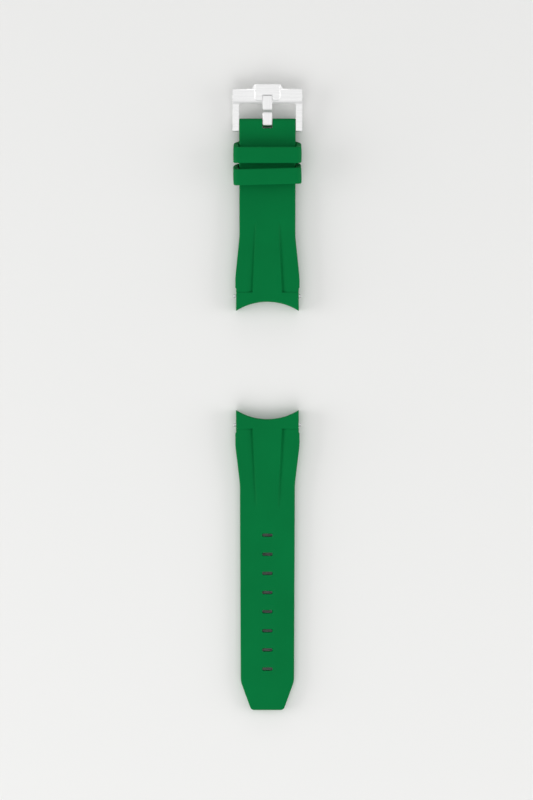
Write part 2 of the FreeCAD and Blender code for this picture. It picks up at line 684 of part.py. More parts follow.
def buckle_frame():
    """The steel frame: two arms, a front bar with a curved face, and a raised pad with a recess."""
    body = new_body("buckle_frame", "0", BUCKLE_BAR_Y, BUCKLE_BAR_Z)
    outer = FRAME_HALF + " + dim.arm_width"
    side = new_sketch(body, "side_outline", "YZ_Plane")
    draw(side, [
        ("-dim.arm_tail", "-dim.arm_half_height"),
        ("dim.arm_bend", "-dim.arm_half_height"),
        ("dim.bar_near", "dim.bar_base"),
        ("dim.bar_far", "dim.bar_base"),
        ("dim.bar_far", "dim.bar_crown - dim.bar_edge"),
        ("dim.bar_far - dim.bar_edge", "dim.bar_crown", "dim.face_radius"),
        ("dim.bar_near + dim.bar_bevel", "dim.bar_face"),
        ("dim.bar_near", "dim.bar_lip"),
        ("dim.arm_step + dim.arm_step_length", "dim.bar_lip"),
        ("dim.arm_step", "dim.arm_half_height"),
        ("-dim.arm_tail", "dim.arm_half_height"),
    ])
    block = pad(body, "block", side, "2 * (%s)" % outer, midplane=True)
    corners = [(outer, "dim.bar_far")]
    block = round_edges(body, "corners", block, "dim.frame_round", upright_at(corners))

    def arm_end(edge):
        box = edge.BoundBox
        crosswise = box.XLength > 1 and box.ZLength < 0.001
        return crosswise and abs(box.YMax + value("dim.arm_tail")) < 0.001

    round_edges(body, "arm_ends", block, "dim.arm_round", arm_end)

    behind = "-(dim.arm_tail + %g)" % CLEAR
    window = new_sketch(body, "window_outline", "XY_Plane")
    draw(window, both_sides([
        (FRAME_HALF, behind),
        (FRAME_HALF, "dim.bar_near - dim.window_chamfer"),
        (FRAME_HALF + " - dim.window_chamfer", "dim.bar_near"),
    ]))
    pocket(body, "window", window)

    flare = new_sketch(body, "flare_outline", "XY_Plane", "dim.bar_base")
    draw(flare, both_sides([
        ("dim.pad_width / 2", "dim.bar_far - dim.frame_round"),
        ("dim.pad_width / 2 + dim.pad_flare", "dim.bar_far - dim.frame_round"),
        ("dim.pad_width / 2 + dim.pad_flare", "dim.bar_far"),
        ("dim.pad_width / 2", "dim.pad_far"),
    ])[1:-1])
    pad(body, "flare", flare, "dim.bar_crown - dim.bar_edge - dim.bar_base")
    raised = new_sketch(body, "pad_outline", "XY_Plane", "dim.bar_base")
    draw(raised, both_sides([
        ("dim.pad_width / 2 - dim.pad_round", "dim.pad_near", "dim.pad_round"),
        ("dim.pad_width / 2", "dim.pad_near + dim.pad_round"),
        ("dim.pad_width / 2", "dim.pad_far"),
    ]))
    plateau = pad(body, "pad", raised, "dim.pad_face - dim.bar_base")

    def pad_rim(edge):
        box = edge.BoundBox
        level = abs(box.ZMin - value("dim.pad_face")) < 0.001
        return level and box.ZLength < 0.001

    plateau = round_edges(body, "pad_rim", plateau, "dim.pad_rim", pad_rim)
    recess = new_sketch(body, "recess_outline", "YZ_Plane")
    draw(recess, [
        ("dim.bar_near - %g" % CLEAR, "dim.recess_near_floor"),
        ("dim.bar_near", "dim.recess_near_floor"),
        ("dim.recess_far", "dim.recess_far_floor"),
        ("dim.recess_far", "dim.pad_face + %g" % CLEAR),
        ("dim.bar_near - %g" % CLEAR, "dim.pad_face + %g" % CLEAR),
    ])
    cut = body.newObject("PartDesign::Pocket", "tang_recess")
    cut.Profile = recess
    cut.SideType = "Symmetric"
    cut.setExpression("Length", "dim.tang_width + 2 * dim.recess_play")
    holes = new_sketch(body, "hole_outline", "YZ_Plane")
    circle(holes, "0", "0", "dim.buckle_tip_diameter / 2 + dim.hole_play")
    pocket(body, "pin_holes", holes)


def buckle_tang():
    """The steel tongue: a strip bent round the bar, that rises and ends in the pad's recess."""
    body = new_body("buckle_tang", "0", BUCKLE_BAR_Y, BUCKLE_BAR_Z)
    loop = new_sketch(body, "loop_outline", "YZ_Plane")
    circle(loop, "0", "0", TANG_LOOP)
    pad(body, "loop", loop, "dim.tang_width", midplane=True)
    ramp_end = "dim.tang_crest - dim.tang_bend_round"
    rise = "dim.tang_ramp_share * (dim.tang_crest_height - (%s))" % TANG_LOOP
    ramp_top = TANG_LOOP + " + " + rise
    strip = new_sketch(body, "strip_outline", "YZ_Plane")
    draw(strip, [
        ("0", TANG_LOOP + " - dim.tang_thickness / 2"),
        ("dim.tang_thickness", TANG_LOOP + " - dim.tang_thickness"),
        ("dim.tang_ramp + dim.tang_under_shift", TANG_LOOP + " - dim.tang_thickness"),
        (ramp_end + " + dim.tang_under_shift", ramp_top + " - dim.tang_thickness"),
        ("dim.tang_crest", "dim.tang_crest_height - dim.tang_thickness"),
        ("dim.tang_tip", "dim.tang_tip_height - dim.tang_thickness"),
        ("dim.tang_tip", "dim.tang_tip_height"),
        ("dim.tang_crest", "dim.tang_crest_height"),
        (ramp_end, ramp_top),
        ("dim.tang_ramp", TANG_LOOP),
        ("0", TANG_LOOP),
    ])
    arm = pad(body, "strip", strip, "dim.tang_width", midplane=True)

    def bends(edge):
        middle = edge.CenterOfMass
        box = edge.BoundBox
        crosswise = box.XLength > 1 and box.YLength < 0.001 and box.ZLength < 0.001
        inner = value("dim.tang_ramp") - 0.1 < middle.y < value("dim.tang_tip") - 1
        return crosswise and inner

    def tip(edge):
        box = edge.BoundBox
        crosswise = box.XLength > 1 and box.YLength < 0.001 and box.ZLength < 0.001
        return crosswise and abs(box.YMin - value("dim.tang_tip")) < 0.001

    arm = round_edges(body, "bends", arm, "dim.tang_bend_round", bends)
    round_edges(body, "tip", arm, "dim.tang_tip_round", tip)
    bore = new_sketch(body, "bore_outline", "YZ_Plane")
    circle(bore, "0", "0", "dim.buckle_bar_diameter / 2 + dim.tang_bore_play")
    pocket(body, "bore", bore)


long_strap()
short_strap()
keeper("fixed_keeper", BAR_Y + " + dim.fixed_keeper_y", "0", rib=True)
keeper("free_keeper", BAR_Y + " + dim.free_keeper_y", "dim.keeper_skew", rib=False)
sleeve("long_strap_sleeve", minus(BAR_Y))
sleeve("short_strap_sleeve", BAR_Y)
spring_bar("long_lug_bar", "lug", "dim.lug_width / 2", minus(BAR_Y), "0")
spring_bar("short_lug_bar", "lug", "dim.lug_width / 2", BAR_Y, "0")
spring_bar("buckle_bar", "buckle", FRAME_HALF, BUCKLE_BAR_Y, BUCKLE_BAR_Z)
buckle_frame()
buckle_tang()

doc.recompute()
for thing in doc.Objects:
    if "Invalid" in thing.State or "Error" in thing.State:
        raise RuntimeError("%s did not build: %s" % (thing.Name, thing.State))
for part in parts:
    if part.Shape.isNull() or not part.Shape.isValid():
        raise RuntimeError("%s has no valid shape" % part.Label)
    if len(part.Shape.Solids) != 1:
        raise RuntimeError("%s has %d solids" % (part.Label, len(part.Shape.Solids)))

os.makedirs("parts", exist_ok=True)
for part in parts:
    part.Shape.exportStep("parts/%s.step" % part.Label)
    box = part.Shape.BoundBox
    print("%-26s volume %9.3f  x %8.3f %8.3f  y %8.3f %8.3f  z %7.3f %7.3f" % (
        part.Label, part.Shape.Volume,
        box.XMin, box.XMax, box.YMin, box.YMax, box.ZMin, box.ZMax,
    ))
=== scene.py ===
import math
import bmesh
import bpy
import numpy as np
from mathutils import Matrix, Vector


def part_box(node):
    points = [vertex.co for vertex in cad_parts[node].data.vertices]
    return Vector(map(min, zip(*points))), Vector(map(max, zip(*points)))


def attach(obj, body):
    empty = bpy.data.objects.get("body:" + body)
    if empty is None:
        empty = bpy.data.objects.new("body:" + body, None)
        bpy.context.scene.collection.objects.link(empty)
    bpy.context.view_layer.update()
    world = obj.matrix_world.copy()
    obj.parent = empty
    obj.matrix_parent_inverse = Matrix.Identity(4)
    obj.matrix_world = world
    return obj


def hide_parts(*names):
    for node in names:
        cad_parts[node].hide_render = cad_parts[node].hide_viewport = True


# Rubber dive strap with a steel pin buckle, dressed round its CAD frame.
# Sizes are millimetres, as in the CAD source, and become metres when a mesh is made.
# Lengths along each half, called s, are from its lug bar axis and grow away from the middle.

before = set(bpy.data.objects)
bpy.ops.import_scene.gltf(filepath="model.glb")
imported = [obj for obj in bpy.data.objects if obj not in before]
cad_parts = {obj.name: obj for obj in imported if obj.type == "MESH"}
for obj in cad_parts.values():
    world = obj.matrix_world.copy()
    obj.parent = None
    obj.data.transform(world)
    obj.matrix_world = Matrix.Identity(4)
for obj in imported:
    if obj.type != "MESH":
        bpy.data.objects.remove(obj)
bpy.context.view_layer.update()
MM = 0.001


def middle(node):
    low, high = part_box(node)
    return (low + high) / 2 / MM


BAR = middle("short_lug_bar_tube").y          # lug bar axes from the origin
BUCKLE_BAR = middle("buckle_bar_tube")        # axis of the buckle's bar

# Rubber, as in the CAD source
CASE_RADIUS = 19.6       # hollow ends
END_HALF = 10.45         # half width at the lug bar
WIDE_HALF = 10.7         # half width where the strap swells just past it
LUG_REACH = 2.5          # where the narrower end stops
SWELL_END = 2.8          # where the strap is at its widest
TAPER_ROUND = 20.0
TOP = 2.2                # face at the lug bar
BASE = -2.4              # underside at the lug bar
BORE_RADIUS = 1.26       # round the moulded-in sleeve
BAR_BORE_RADIUS = 0.8    # round the buckle's bar
SIDE_CREASE = 1.3        # crease across each side panel
PANEL_ROOT = 5.1         # half width of the raised middle panel at that crease
CREASE_DEPTH = 0.62      # side panel below the middle panel, at the lengthwise crease
SIDE_STEP = 0.16         # the same at the outer edge
CREASE_DIP = 2.4         # how far from the crease the side panel dips
CREASE_FADE = 0.45       # how late the creases fade out
LENGTH_GROOVE = 0.05     # fine groove along the lengthwise creases
ACROSS_GROOVE = 0.12     # and along the crease across each side panel
GROOVE_HALF = 0.20       # half its width
LIP = 0.35               # rounded rim of the middle panel
TOP_ROUND = 0.5          # long edges of the face
BASE_ROUND = 0.35        # long edges of the underside
PARTING_RIDGE = 0.03     # line on the side walls where the mould parts
CORNER_BLEND = 4         # how roundings join where two edges meet
WALL_LEVELS = (0.25, 0.46, 0.49, 0.52, 0.75)   # rings of the side walls
PARTING_LEVEL = 0.49
BASE_END_ROUND = 1.1     # most that the underside of an end is rounded
STEP_BEFORE = 0.2        # the side panel steps down from this far before its crease
STEP_LENGTH = 0.3        # and over this length
PANEL_SHARE = 0.72       # most of the half width that the middle panel takes
GROOVE_WALL = 0.02       # sides of the keeper's groove and rib, along the strap
CURVE_START = -10        # where the curves start, well inside the hollow end

# Steps of the grid from the middle of the strap to its side
PANEL_STEPS = 6
LIP_STEPS = 5
CREASE_STEPS = 6
SIDE_STEPS = 8
ROUND_STEPS = 6

SMOOTH_ANGLE = 32        # degrees from which an edge stays sharp
KEEPER_SMOOTH_ANGLE = 50

# Colours, linear
GREEN = (0.0006, 0.152, 0.0375)
STEEL = (0.88, 0.88, 0.88)
BAR_STEEL = (0.60, 0.60, 0.61)
WIRE_STEEL = (0.48, 0.48, 0.50)


# Mesh helpers

def make_object(name, points, faces, smooth_angle=SMOOTH_ANGLE):
    """An object from points in millimetres, with outward normals."""
    mesh = bpy.data.meshes.new(name)
    mesh.from_pydata([tuple(c * MM for c in p) for p in points], [], faces)
    work = bmesh.new()
    work.from_mesh(mesh)
    bmesh.ops.recalc_face_normals(work, faces=work.faces)
    work.to_mesh(mesh)
    work.free()
    mesh.shade_smooth()
    mesh.set_sharp_from_angle(angle=math.radians(smooth_angle))
    piece = bpy.data.objects.new(name, mesh)
    bpy.context.scene.collection.objects.link(piece)
    return piece


def stacked(rings):
    """Points and faces of a closed form through rings of equal length, with its two ends closed."""
    size = len(rings[0])
    points = [p for ring in rings for p in ring]
    faces = [tuple(range(size)), tuple(range(len(points) - size, len(points)))]
    for k in range(len(rings) - 1):
        for i in range(size):
            j = (i + 1) % size
            faces.append((k * size + i, k * size + j, (k + 1) * size + j, (k + 1) * size + i))
    return points, faces


def cut(piece, cutters):
    """Takes the cutters out of a piece, one by one, and deletes them."""
    for cutter in cutters:
        change = piece.modifiers.new("cut", "BOOLEAN")
        change.operation = "DIFFERENCE"
        change.solver = "EXACT"
        change.object = cutter
        seen = piece.evaluated_get(bpy.context.evaluated_depsgraph_get())
        mesh = bpy.data.meshes.new_from_object(seen)
        piece.modifiers.clear()
        old, piece.data = piece.data, mesh
        bpy.data.meshes.remove(old)
        bpy.data.objects.remove(cutter)
    piece.data.name = piece.name
    piece.data.shade_smooth()
    piece.data.set_sharp_from_angle(angle=math.radians(SMOOTH_ANGLE))


def rounded_box(half_x, half_y, radius, steps=5):
    """Outline of a rectangle with rounded corners, about the origin."""
    outline = []
    for turn, (sx, sy) in enumerate(((1, 1), (-1, 1), (-1, -1), (1, -1))):
        for k in range(steps + 1):
            angle = math.pi / 2 * (turn + k / steps)
            outline.append((
                sx * (half_x - radius) + radius * math.cos(angle),
                sy * (half_y - radius) + radius * math.sin(angle),
            ))
    return outline


def flared_cutter(centre, half_x, half_y, radius, top, bottom, flare, beyond=1.0):
    """A cutter for an upright hole whose rims are rounded."""
    rings = []
    levels = [(top + beyond, 1.0)]
    steps = 4
    for k in range(steps + 1):
        angle = math.pi / 2 * k / steps
        levels.append((top - flare * (1 - math.cos(angle)), 1 - math.sin(angle)))
    levels += [(top + bottom - z, grow) for z, grow in reversed(levels)]
    for z, grow in levels:
        wide = grow * flare
        rings.append([
            (centre[0] + x, centre[1] + y, z)
            for x, y in rounded_box(half_x + wide, half_y + wide, radius + wide)
        ])
    return make_object("cutter", *stacked(rings))


def crossways_cutter(y, z, radius, half_length=15.0, steps=40):
    """A round bar along X."""
    rings = []
    for x in (-half_length, half_length):
        rings.append([
            (x, y + radius * math.cos(2 * math.pi * k / steps),
             z + radius * math.sin(2 * math.pi * k / steps))
            for k in range(steps)
        ])
    return make_object("cutter", *stacked(rings))


# Curves that the rubber follows

def rounded_path(corners, steps=10):
    """Two arrays for a path through corners (s, value, radius), each corner rounded."""
    path = [corners[0][:2]]
    for before, corner, after in zip(corners, corners[1:], corners[2:]):
        here = np.array(corner[:2])
        one = np.array(before[:2]) - here
        two = np.array(after[:2]) - here
        one, two = one / np.linalg.norm(one), two / np.linalg.norm(two)
        half = math.acos(float(np.clip(one @ two, -1, 1))) / 2
        if corner[2] == 0 or half > math.pi / 2 - 1e-4:
            path.append(tuple(here))
            continue
        reach = corner[2] / math.tan(half)
        centre = here + (one + two) / np.linalg.norm(one + two) * corner[2] / math.sin(half)
        start, end = here + one * reach - centre, here + two * reach - centre
        first, last = math.atan2(start[1], start[0]), math.atan2(end[1], end[0])
        turn = (last - first + math.pi) % (2 * math.pi) - math.pi
        for k in range(steps + 1):
            angle = first + turn * k / steps
            path.append((
                centre[0] + corner[2] * math.cos(angle),
                centre[1] + corner[2] * math.sin(angle),
            ))
    path.append(corners[-1][:2])
    return np.array(path).T


def smooth(t):
    t = np.clip(t, 0, 1)
    return t * t * (3 - 2 * t)


def rounding(distance, radius):
    """How far an edge rounded by that radius has dropped at a distance from the edge."""
    inside = radius - np.minimum(distance, radius)
    return radius - np.sqrt(np.maximum(radius ** 2 - inside ** 2, 0))


def joined(one, two):
    return (one ** CORNER_BLEND + two ** CORNER_BLEND) ** (1 / CORNER_BLEND)


def groove(distance):
    """Section of a groove one deep."""
    return np.exp(-((distance / GROOVE_HALF) ** 2))


def stations(stops):
    """Places along the strap: from each stop to the next one in steps of about its pitch."""
    places = []
    for (start, pitch), (end, _) in zip(stops, stops[1:]):
        count = max(1, round((end - start) / pitch))
        places += list(np.linspace(start, end, count, endpoint=False))
    return places + [stops[-1][0]]


def close_to(end, radius, steps=7):
    """Places that crowd towards a rounded end."""
    return [end - radius * (1 - math.sin(math.pi / 2 * k / steps)) for k in range(steps + 1)]


HOLLOW_STEPS = (0, 0.015, 0.04, 0.08, 0.13, 0.2, 0.3, 0.42, 0.56, 0.7, 0.85)


def strap_half(name, way, outline, places, face, base, panel_end, end_round):
    """One half of the strap as a closed mesh: a grid on its face, one on its underside, and walls.

    outline, face and base are paths along s, and panel_end is where the creases fade out and the
    half width of the middle panel there."""
    fade_end, panel_tail = panel_end
    first = places[0]
    length = places[-1]
    rows = [("hollow", t) for t in HOLLOW_STEPS] + [("straight", s) for s in places]
    edge = [math.cos(math.pi / 2 * k / ROUND_STEPS) for k in range(ROUND_STEPS + 1)]
    along_x, along_s = [], []
    for kind, place in rows:
        s = first if kind == "hollow" else place
        half = float(np.interp(s, *outline))
        crease = float(np.interp(s, (SIDE_CREASE, fade_end), (PANEL_ROOT, panel_tail)))
        crease = min(crease, PANEL_SHARE * half)
        side = half - TOP_ROUND
        beside = min(3 * GROOVE_HALF, (side - crease) / 3)
        out = list(np.linspace(0, crease - LIP, PANEL_STEPS + 1))
        out += list(np.linspace(crease - LIP, crease, LIP_STEPS + 1)[1:])
        out += list(crease + np.linspace(0, 1, CREASE_STEPS + 1)[1:] * beside)
        out += list(np.linspace(out[-1], side, SIDE_STEPS + 1)[1:])
        out += [half - TOP_ROUND * e for e in edge[1:]]
        across = np.array([-x for x in reversed(out[1:])] + out)
        if kind == "hollow":
            start = np.sqrt(CASE_RADIUS ** 2 - across ** 2) - BAR
            along_s.append(start + (first - start) * place)
        else:
            along_s.append(np.full(len(across), place))
        along_x.append(across)
    x, s = np.array(along_x), np.array(along_s)

    # Distances to the edges
    half = np.interp(s, *outline)
    to_side = np.maximum(half - np.abs(x), 0)
    to_hollow = np.maximum(np.hypot(x, BAR + s) - CASE_RADIUS, 0)
    to_end = np.maximum(length - s, 0)

    # Side panels and creases
    crease = np.interp(s, (SIDE_CREASE, fade_end), (PANEL_ROOT, panel_tail))
    crease = np.minimum(crease, PANEL_SHARE * half)
    fade = np.clip((fade_end - s) / (fade_end - SIDE_CREASE), 0, 1) ** CREASE_FADE
    past = smooth((s - SIDE_CREASE + STEP_BEFORE) / STEP_LENGTH)
    from_crease = np.abs(x) - crease
    near = 1 - np.clip(from_crease / CREASE_DIP, 0, 1)
    dip = SIDE_STEP + (CREASE_DEPTH - SIDE_STEP) * near ** 2
    rim = smooth((from_crease + LIP) / LIP)
    depth = dip * rim * fade * past
    depth += LENGTH_GROOVE * groove(from_crease - GROOVE_HALF) * smooth(fade * 3) * past
    depth += ACROSS_GROOVE * groove(s - SIDE_CREASE) * rim

    top = np.interp(s, *face) - depth
    side_drop = rounding(to_side, TOP_ROUND)
    top -= joined(joined(side_drop, rounding(to_end, end_round)), rounding(to_hollow, TOP_ROUND))
    low = np.interp(s, *base)
    side_rise = rounding(to_side, BASE_ROUND)
    low_round = min(end_round, BASE_END_ROUND)
    low += joined(joined(side_rise, rounding(to_end, low_round)), rounding(to_hollow, BASE_ROUND))

    rows_count, columns = x.shape
    count = rows_count * columns
    y = way * (BAR + s)
    points = list(zip(x.ravel(), y.ravel(), top.ravel()))
    points += list(zip(x.ravel(), y.ravel(), low.ravel()))
    faces = []
    for j in range(rows_count - 1):
        for i in range(columns - 1):
            k = j * columns + i
            quad = (k, k + 1, k + columns + 1, k + columns)
            faces += [quad, tuple(count + n for n in quad)]

    # Walls, with the fine ridge where the mould parts
    rim_line = list(range(columns))
    rim_line += [j * columns + columns - 1 for j in range(1, rows_count)]
    rim_line += [(rows_count - 1) * columns + i for i in range(columns - 2, -1, -1)]
    rim_line += [j * columns for j in range(rows_count - 2, 0, -1)]
    above = rim_line
    flat = np.array([points[n][:2] for n in rim_line])
    run = np.roll(flat, -1, axis=0) - np.roll(flat, 1, axis=0)
    outward = np.stack([run[:, 1], -run[:, 0]], axis=1) * way
    outward /= np.linalg.norm(outward, axis=1)[:, None]
    for level in WALL_LEVELS:
        ring = []
        for n, push in zip(rim_line, outward):
            high, deep = points[n], points[count + n]
            ridge = PARTING_RIDGE if level == PARTING_LEVEL else 0
            ring.append(len(points))
            points.append((
                high[0] + push[0] * ridge,
                high[1] + push[1] * ridge,
                high[2] + (deep[2] - high[2]) * level,
            ))
        for i in range(len(ring)):
            j = (i + 1) % len(ring)
            faces.append((above[i], above[j], ring[j], ring[i]))
        above = ring
    for i in range(len(above)):
        j = (i + 1) % len(above)
        faces.append((above[i], above[j], count + rim_line[j], count + rim_line[i]))
    return make_object(name, points, faces)


# Long half

LONG_TAPER = (6.9, 19.9)     # where it narrows
LONG_WAIST = 9.15            # half width there
TAIL_HALF = 8.875            # half width at the root of the tip
TIP_START, TIP_END = 85.7, 95.2
TIP_HALF = 5.4               # half width of the tip's flat end before rounding
TIP_SHOULDER_ROUND = 6.5
TIP_CORNER_ROUND = 1.4
SLOPE_END = 28.5             # where the face stops falling
SLOPE_ROUND = 190            # curve at that place
SLOPE_THICKNESS, TAIL_THICKNESS = 3.2, 2.7
LONG_CREASES = (27.5, 3.8)   # where the creases fade out, half width of the panel there
SLOTS = 8
SLOT_FIRST, SLOT_PITCH = 36.8, 6.385
SLOT_HALF_WIDTH, SLOT_HALF_LENGTH = 1.7, 0.525
SLOT_ROUND = 0.4
SLOT_RIM = 0.16

long_outline = rounded_path([
    (CURVE_START, END_HALF, 0), (LUG_REACH, END_HALF, 0),
    (SWELL_END, WIDE_HALF, 0),
    (LONG_TAPER[0], WIDE_HALF, TAPER_ROUND), (LONG_TAPER[1], LONG_WAIST, TAPER_ROUND),
    (TIP_START, TAIL_HALF, TIP_SHOULDER_ROUND), (TIP_END, TIP_HALF, TIP_CORNER_ROUND),
    (TIP_END, 0, 0),
])
long_outline = long_outline[:, :-1]
long_face = rounded_path([
    (CURVE_START, TOP, 0), (SIDE_CREASE, TOP, 0),
    (SLOPE_END, BASE + SLOPE_THICKNESS, SLOPE_ROUND),
    (TIP_END, BASE + TAIL_THICKNESS, 0),
])
long_base = ((CURVE_START, TIP_END), (BASE, BASE))
long_places = stations([
    (0.5, 0.3), (0.8, 0.07), (2.0, 0.15), (3.4, 0.6),
    (TIP_START - 6, 0.45), (TIP_END - 1.2, 0.2), (TIP_END - TOP_ROUND, 1),
])[:-1] + close_to(TIP_END, TOP_ROUND)
long_strap = strap_half(
    "long_strap_rubber", -1, long_outline, long_places, long_face, long_base, LONG_CREASES,
    TOP_ROUND,
)
cutters = [crossways_cutter(-BAR, 0, BORE_RADIUS)]
for n in range(SLOTS):
    s = SLOT_FIRST + SLOT_PITCH * n
    cutters.append(flared_cutter(
        (0, -BAR - s), SLOT_HALF_WIDTH, SLOT_HALF_LENGTH, SLOT_ROUND,
        float(np.interp(s, *long_face)), BASE, SLOT_RIM,
    ))
cut(long_strap, cutters)
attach(long_strap, "long_strap")
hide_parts("long_strap")

# Short half

SHORT_TAPER = (6.3, 19.9)
SHORT_WAIST = 9.3
BUCKLE_END_HALF = 9.4
SHORT_END = 59.2
SHORT_CORNER_ROUND = 0.4
RISE = (6.5, 24.5)           # where the underside rises
UNDERSIDE = -0.85            # underside beneath the keepers
SWELL = (52.1, 54.9)         # where the end thickens for the buckle's bar
END_UNDERSIDE = -1.2
NOSE_ROUND = 1.2
KEEPER_GROOVE = (49.25, 1.2, 0.5)    # its middle, half width and depth
NOTCH_HALF = 1.7
NOTCH_START = 55.9
NOTCH_ROUND = 0.4
NOTCH_PAST = 2               # how far its cutter stands past the end
NOTCH_RIM = 0.1
SWELL_BLEND = 2
SHORT_CREASES = (24.5, 4.0)  # where the creases fade out, half width of the panel there
BASE_BLEND = 25.0            # soft bends of the underside

short_outline = rounded_path([
    (CURVE_START, END_HALF, 0), (LUG_REACH, END_HALF, 0),
    (SWELL_END, WIDE_HALF, 0),
    (SHORT_TAPER[0], WIDE_HALF, TAPER_ROUND), (SHORT_TAPER[1], SHORT_WAIST, TAPER_ROUND),
    (SHORT_END, BUCKLE_END_HALF, SHORT_CORNER_ROUND), (SHORT_END, 0, 0),
])
short_outline = short_outline[:, :-1]
short_face = ((CURVE_START, SHORT_END), (TOP, TOP))
groove_start = KEEPER_GROOVE[0] - KEEPER_GROOVE[1]
groove_end = KEEPER_GROOVE[0] + KEEPER_GROOVE[1]
short_base = rounded_path([
    (CURVE_START, BASE, 0),
    (RISE[0], BASE, BASE_BLEND), (RISE[1], UNDERSIDE, BASE_BLEND),
    (groove_start - GROOVE_WALL, UNDERSIDE, 0),
    (groove_start, UNDERSIDE + KEEPER_GROOVE[2], 0),
    (groove_end, UNDERSIDE + KEEPER_GROOVE[2], 0),
    (groove_end + GROOVE_WALL, UNDERSIDE, 0),
    (SWELL[0], UNDERSIDE, SWELL_BLEND), (SWELL[1], END_UNDERSIDE, SWELL_BLEND),
    (SHORT_END, END_UNDERSIDE, 0),
])
short_places = stations([
    (0.5, 0.3), (0.8, 0.07), (2.0, 0.15), (3.4, 0.6),
    (groove_start - GROOVE_WALL, GROOVE_WALL), (groove_start, 0.6),
    (groove_end, GROOVE_WALL), (groove_end + GROOVE_WALL, 0.6), (SHORT_END - NOSE_ROUND, 1),
])[:-1] + close_to(SHORT_END, NOSE_ROUND)
short_strap = strap_half(
    "short_strap_rubber", 1, short_outline, short_places, short_face, short_base, SHORT_CREASES,
    NOSE_ROUND,
)
notch_end = SHORT_END + NOTCH_PAST
notch_middle = (NOTCH_START + notch_end) / 2
cut(short_strap, [
    crossways_cutter(BAR, 0, BORE_RADIUS),
    crossways_cutter(BUCKLE_BAR.y, BUCKLE_BAR.z, BAR_BORE_RADIUS),
    flared_cutter(
        (0, BAR + notch_middle), NOTCH_HALF, (notch_end - NOTCH_START) / 2, NOTCH_ROUND,
        TOP, END_UNDERSIDE, NOTCH_RIM,
    ),
])
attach(short_strap, "short_strap")
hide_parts("short_strap")

# Keepers

KEEPER_HALF_LENGTH = 2.7
KEEPER_WALL = 1.4
KEEPER_SIDE = 1.73
KEEPER_INNER_HALF = 9.6
KEEPER_FLOOR, KEEPER_CEILING = -0.15, 6.05     # above the underside of the strap
KEEPER_LEAN = 2.5            # how far its upper band stands towards the lug bar
KEEPER_SWEEP = 1.6           # how much its sides bend as they lean
KEEPER_TOP_ROUND = 1.7       # outer corners
KEEPER_BASE_ROUND = 3.0
KEEPER_INNER_ROUND = 0.5
KEEPER_RIM = 0.42            # outer rims
KEEPER_INNER_RIM = 0.15
KEEPER_CROWN = 0.05          # how far the band swells between its rims
RIB_HALF, RIB_REACH, RIB_HEIGHT = 1.05, 7.8, 0.5
FIXED_KEEPER_S, FREE_KEEPER_S = 46.75, 39.6
FREE_KEEPER_TURN = 1.5


def on_arc(corner, degrees):
    cx, cz, _, radius = corner
    angle = math.radians(degrees)
    return np.array((cx + radius * math.cos(angle), cz + radius * math.sin(angle)))


def loop_outline(half, low, high, low_radius, high_radius, straight, steps=9):
    """A rounded rectangle in X and Z with the same count of points whatever its radii."""
    corners = [
        (half - low_radius, low + low_radius, -90, low_radius),
        (half - high_radius, high - high_radius, 0, high_radius),
        (high_radius - half, high - high_radius, 90, high_radius),
        (low_radius - half, low + low_radius, 180, low_radius),
    ]
    points = []
    for n, corner in enumerate(corners):
        points += [on_arc(corner, corner[2] + 90 * k / steps) for k in range(steps + 1)]
        following = corners[(n + 1) % 4]
        before, after = points[-1], on_arc(following, following[2])
        count = straight[n % 2]
        points += [before + (after - before) * k / count for k in range(1, count)]
    return points


def keeper_section(depth):
    """Section of a band: (distance from its inner face, place along the strap), in order."""
    half = KEEPER_HALF_LENGTH
    section = []
    steps = 5
    for k in range(steps + 1):
        angle = math.pi / 2 * k / steps
        section.append((
            depth - KEEPER_RIM * (1 - math.sin(angle)), half - KEEPER_RIM * (1 - math.cos(angle))
        ))
    for k in range(1, 8):
        b = (half - KEEPER_RIM) * (1 - k / 4)
        section.append((depth + KEEPER_CROWN * (1 - (b / (half - KEEPER_RIM)) ** 2), b))
    for k in range(steps, -1, -1):
        angle = math.pi / 2 * k / steps
        section.append((
            depth - KEEPER_RIM * (1 - math.sin(angle)), KEEPER_RIM * (1 - math.cos(angle)) - half
        ))
    inner = KEEPER_INNER_RIM
    for k in range(3):
        angle = math.pi / 2 * k / 2
        section.append((inner * (1 - math.sin(angle)), inner * (1 - math.cos(angle)) - half))
    section += [(0, -RIB_HALF - GROOVE_WALL), ("rib", -RIB_HALF)]
    section += [("rib", RIB_HALF), (0, RIB_HALF + GROOVE_WALL)]
    for k in range(2, -1, -1):
        angle = math.pi / 2 * k / 2
        section.append((inner * (1 - math.sin(angle)), half - inner * (1 - math.cos(angle))))
    return section


